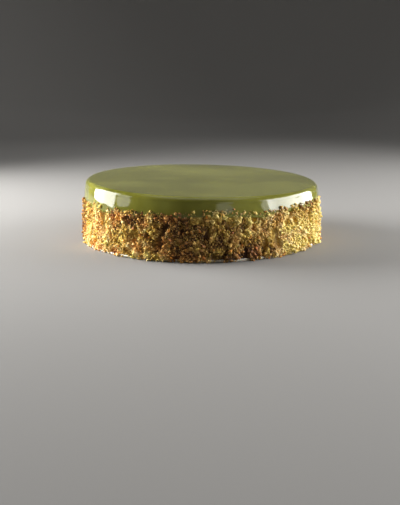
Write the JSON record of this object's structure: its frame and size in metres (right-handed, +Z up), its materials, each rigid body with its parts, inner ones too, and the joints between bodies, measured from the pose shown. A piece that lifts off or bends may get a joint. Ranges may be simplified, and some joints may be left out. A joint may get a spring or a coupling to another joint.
{
  "type": "round glazed cake",
  "caption": "Round single-tier cake with a glossy pistachio-green glazed top, a crumb-coated side and a thin line of white cream at its foot.",
  "frame": {"origin": "middle of the flat foot, on the surface that the cake stands on", "axes": "+Z up through the middle of the cake, +Y to the back of the cake as it is shown, +X to the right"},
  "size_m": [0.2073, 0.2071, 0.0521],
  "materials": {
    "cream": "soft whipped cream, satin",
    "crumb_coat": "golden-brown crumbs and chopped nuts, matte and rough",
    "pistachio_glaze": "pistachio-green mirror glaze, glossy"
  },
  "bodies": {
    "root": {"cream_foot": "cream", "crumb_coated_cake": "crumb_coat", "pistachio_glaze": "pistachio_glaze"}
  },
  "joints": []
}
